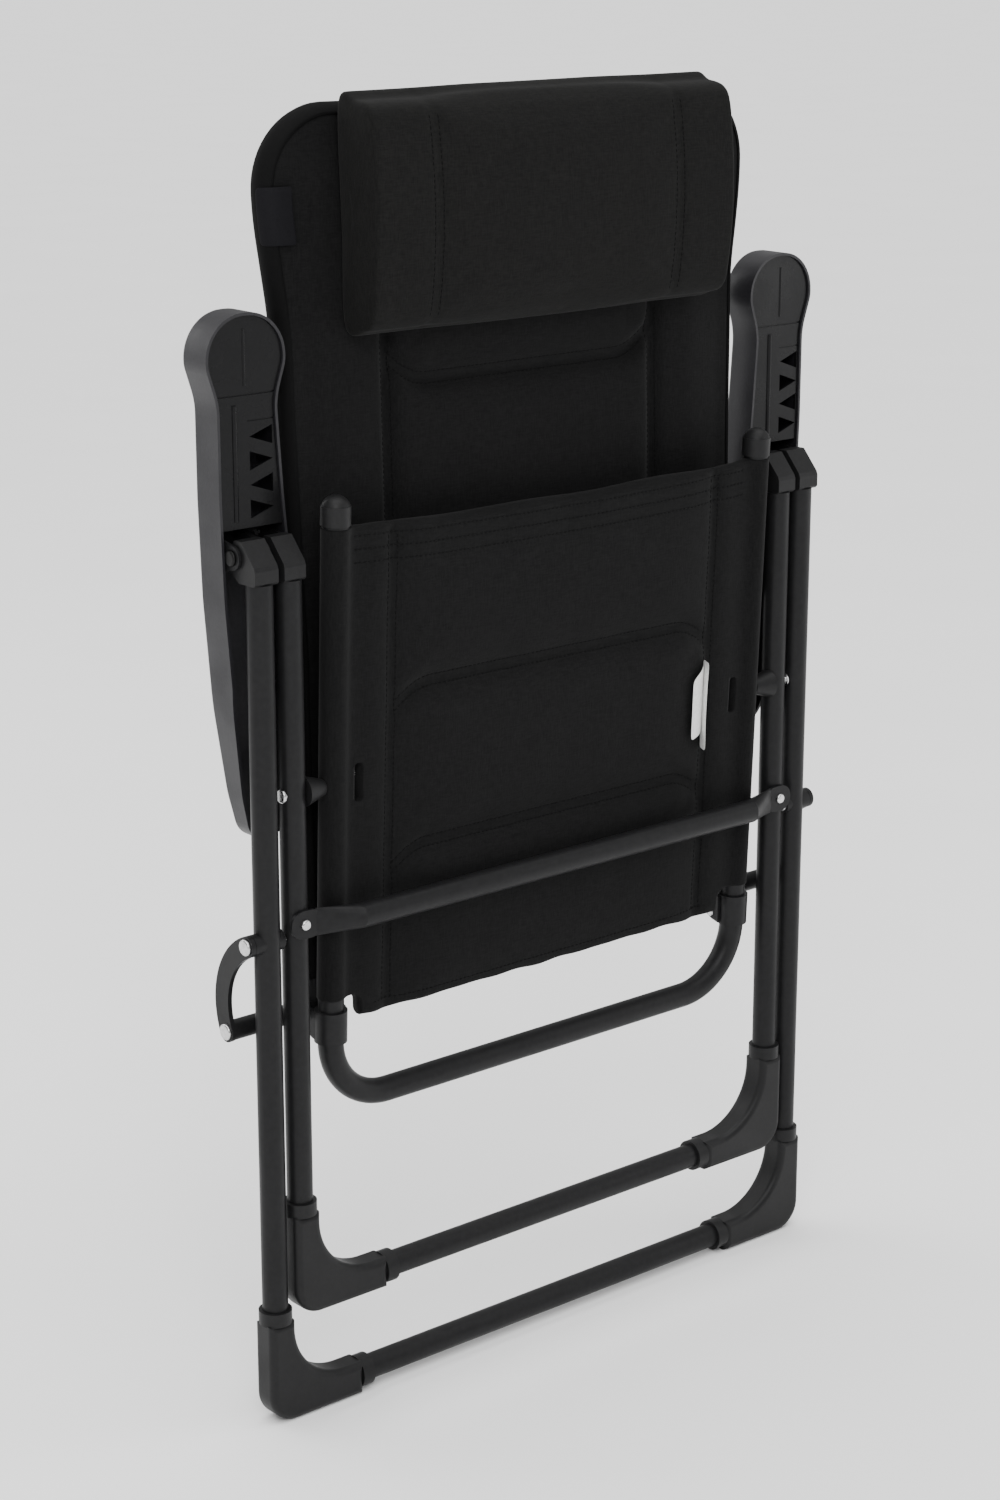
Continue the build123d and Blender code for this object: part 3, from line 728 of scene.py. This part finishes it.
# ---- headrest -----------------------------------------------------------------------
PILLOW_HALF = 194.0
PILLOW_BACK = -21.0
PILLOW_PROFILE = ((PILLOW_BACK, 567), (PILLOW_BACK, 640), (PILLOW_BACK, 745), (-40, 746), (-57, 742),
                  (-64, 731), (-67.5, 700), (-68.5, 668), (-67, 625), (-62, 588), (-56, 571), (-44, 566))


def closed_curve(points, count):
    """Smooth closed curve through points, as evenly spaced points."""
    points = np.asarray(points, float)
    total = len(points)
    fine = []
    for i in range(total):
        a, b, c, d = (points[(i + k) % total] for k in (-1, 0, 1, 2))
        for t in np.linspace(0, 1, 24, endpoint=False):
            fine.append(0.5 * (2 * b + (c - a) * t + (2 * a - 5 * b + 4 * c - d) * t * t
                               + (3 * b - a - 3 * c + d) * t ** 3))
    fine = np.array(fine + [fine[0]])
    run = np.concatenate([[0], np.cumsum(np.linalg.norm(np.diff(fine, axis=0), axis=1))])
    at = np.linspace(0, run[-1], count, endpoint=False)
    return np.column_stack([np.interp(at, run, fine[:, k]) for k in range(2)])


loop = closed_curve(PILLOW_PROFILE, 92)
middle = loop.mean(axis=0)
stations = [(-PILLOW_HALF, s) for s in (0.12, 0.3, 0.5, 0.7, 0.86, 0.95)]
stations += [(-PILLOW_HALF + 0.8, 0.985)]
stations += [(x, 1.0) for x in np.linspace(-PILLOW_HALF + 3, PILLOW_HALF - 3, 77)]
stations += [(PILLOW_HALF - 0.8, 0.985)]
stations += [(PILLOW_HALF, s) for s in (0.95, 0.86, 0.7, 0.5, 0.3, 0.12)]
verts = []
for x, scale in stations:
    dome = 3.0 * (1 - scale ** 2) * np.sign(x) if abs(x) > PILLOW_HALF - 1 else 0
    for y, v in middle + (loop - middle) * scale:
        verts.append((x + dome, y, v))
count = len(loop)
faces = [list(range(count)), [(len(stations) - 1) * count + i for i in range(count)]]
faces += tube_faces(len(stations), count)
pillow = new_object("headrest_cloth", back_plane.world(verts), faces)
place = back_plane.local(coordinates(pillow))
side = np.abs(place[:, 0])
PILLOW_SEAM_X = 131.0
pins = smoothstep(-26, -21.5, place[:, 1])
pins = np.maximum(pins, groove(side - PILLOW_HALF, 4))
pins = np.maximum(pins, 0.9 * groove(side - PILLOW_SEAM_X, 5))
dip = 1.6 * groove(side - PILLOW_SEAM_X, 4)
place[:, 1] += dip * smoothstep(-24, -40, place[:, 1])
place[:, 1] += 0.7 * wave_noise(place[:, 0], place[:, 2], 21, 110) * smoothstep(-24, -40, place[:, 1])
pillow.data.vertices.foreach_set("co", back_plane.world(place).ravel())
puff(pillow, pins, pressure=2.6, cap=3.4)
refine(pillow)
apply_all(pillow)
dress(pillow, "headrest", PILLOW_FABRIC_PAINTED_LIGHT, ("headrest_pillow",))

levels = np.arange(574, 741, 6)
pillow_lines = []
for sign in (-1, 1):
    for shift in (-4.5, 4.5):
        pillow_lines.append([(sign * PILLOW_SEAM_X + shift, v) for v in levels])
lines = seam_lines(pillow, back_plane, pillow_lines, -1)
dress(stitches("headrest_stitching", lines), "headrest", THREAD)

# flap over the top of the back
flap_path = [(-34, 747.5), (-24, 747.0), (-16, 745.6), (0, 744.8), (10, 744.2), (14.6, 741), (15.4, 734),
             (15.3, 700), (15.1, 670), (14.9, 651)]
flap_path = np.array(flap_path)
verts, faces = [], []
FLAP_COLUMNS = np.linspace(-120, 120, 25)
for layer in (0.0, 1.7):
    for y, v in flap_path:
        for x in FLAP_COLUMNS:
            outward = (0.0, layer) if y < 12 else (layer, 0.0)
            swell = 0.5 * math.sin(x / 31) * (1 if y > 12 else 0)
            verts.append((x, y + outward[0] + swell, v + outward[1]))
count, deep = len(FLAP_COLUMNS), len(flap_path)
for layer in (0, 1):
    base = layer * count * deep
    for r in range(deep - 1):
        for i in range(count - 1):
            faces.append((base + r * count + i, base + r * count + i + 1,
                          base + (r + 1) * count + i + 1, base + (r + 1) * count + i))
top = count * deep
for r in range(deep - 1):
    for i in (0, count - 1):
        faces.append((r * count + i, (r + 1) * count + i, top + (r + 1) * count + i, top + r * count + i))
for r in (0, deep - 1):
    for i in range(count - 1):
        faces.append((r * count + i, r * count + i + 1, top + r * count + i + 1, top + r * count + i))
flap = new_object("headrest_flap_cloth", back_plane.world(verts), faces)
refine(flap)
apply_all(flap)
dress(flap, "headrest", PILLOW_FABRIC_PAINTED_LIGHT, ("headrest_flap",))
flap_rows = [[(x, v) for x in np.arange(-112, 113, 6)] for v in (656, 662)]
flap_rows += [[(sign * 114, v) for v in np.arange(656, 736, 6)] for sign in (-1, 1)]
lines = seam_lines(flap, back_plane, flap_rows, 1)
dress(stitches("flap_stitching", lines), "headrest", THREAD)

# ---- labels -------------------------------------------------------------------------
def leaf(name, plane, outline_points, thickness=0.5):
    """A small flat leaf of ribbon through (x, y, v) rows of points, given as a grid, with a thickness."""
    grid = np.array(outline_points, float)
    deep, wide_count = grid.shape[:2]
    verts = grid.reshape(-1, 3)
    faces = [quad(r * wide_count, (r + 1) * wide_count, i, i + 1)
             for r in range(deep - 1) for i in range(wide_count - 1)]
    made = new_object(name, plane.world(verts), faces)
    solid = made.modifiers.new("thick", "SOLIDIFY")
    solid.thickness, solid.offset = thickness * MM, 0
    refine(made, 2)
    apply_all(made)
    return made


rows = []
for v in np.linspace(-44, 39, 9):
    bow = 1.2 * math.sin((v + 44) / 83 * math.pi)
    rows.append([(177, -4.5, v), (175.5 - bow, -8.5, v), (173.5 - bow, -12.5, v), (172 - bow, -17.5, v)])
dress(leaf("care_label_strip", seat_plane, rows), "seat", LABEL, ("care_label",))
rows = []
for step in np.linspace(0, 1, 7):
    low, high = -33 + 57 * step, -27 + 64 * step
    rows.append([(174.5, -8.0, high), (169, -12.4, (2 * high + low) / 3), (163, -13.6, (high + 2 * low) / 3),
                 (156.5, -14.2, low)])
dress(leaf("care_label_leaf", seat_plane, rows), "seat", LABEL)

TAB_SECTION = ((-0.9, -2), (1.4, -9.2), (6, -13.6), (12, -15.4), (20, -16.4), (24, -16.9))
rows = []
for v in np.linspace(636, 682, 8):
    edge = -back_half(v)
    rows.append([(edge + inward_by, y, v) for inward_by, y in TAB_SECTION])
dress(leaf("side_tab", back_plane, rows, 0.8), "back", TAB, ("name_tab",))


# ---- stage, lights, camera ----------------------------------------------------------
FLOOR_SIZE = 400.0
pale, tree, shader, where = material("pale_floor", (0.95, 0.95, 0.95), 0.9, specular=0.05)
tree.links.new(ramp(tree, noise(tree, where, 3, 2.0), ((0.3, 0.94), (0.7, 0.96))),
               shader.inputs["Base Color"])
bpy.ops.mesh.primitive_plane_add(size=FLOOR_SIZE)
floor = bpy.context.object
floor.name = "floor"
floor.data.materials.append(pale)


def area_light(name, location, target, size, power):
    data = bpy.data.lights.new(name, "AREA")
    data.shape, data.size, data.size_y = "RECTANGLE", size[0], size[1]
    data.energy = power
    made = bpy.data.objects.new(name, data)
    made.location = location
    made.rotation_euler = (Vector(target) - Vector(location)).to_track_quat("-Z", "Y").to_euler()
    bpy.context.scene.collection.objects.link(made)


area_light("key", (-1.9, -2.3, 2.5), (0, 0, 0.6), (1.6, 1.6), 62)
area_light("fill", (2.4, -1.8, 1.4), (0, 0, 0.5), (1.2, 2.2), 16)
area_light("rear", (-1.2, 2.6, 1.8), (0, 0, 0.6), (1.8, 1.8), 26)
sun = bpy.data.objects.new("overhead", bpy.data.lights.new("overhead", "SUN"))
sun.data.energy, sun.data.angle = 3.2, math.radians(70)
bpy.context.scene.collection.objects.link(sun)
world = bpy.data.worlds.new("studio")
world.use_nodes = True
world.node_tree.nodes["Background"].inputs["Color"].default_value = (1, 1, 1, 1)
world.node_tree.nodes["Background"].inputs["Strength"].default_value = 0.55
bpy.context.scene.world = world

CAMERA_PLACE = (-1.6657, LEG_Y - 1.9061, 1.2672)
CAMERA_LOOK = (0.62025, 0.73366, -0.27754)
camera_data = bpy.data.cameras.new("camera")
camera_data.lens, camera_data.sensor_width = 73.16, 36.0
camera_data.clip_start, camera_data.clip_end = 0.1, 400
camera = bpy.data.objects.new("camera", camera_data)
camera.location = CAMERA_PLACE
camera.rotation_euler = Vector(CAMERA_LOOK).to_track_quat("-Z", "Y").to_euler()
bpy.context.scene.collection.objects.link(camera)
bpy.context.scene.camera = camera

low, high = cad_box
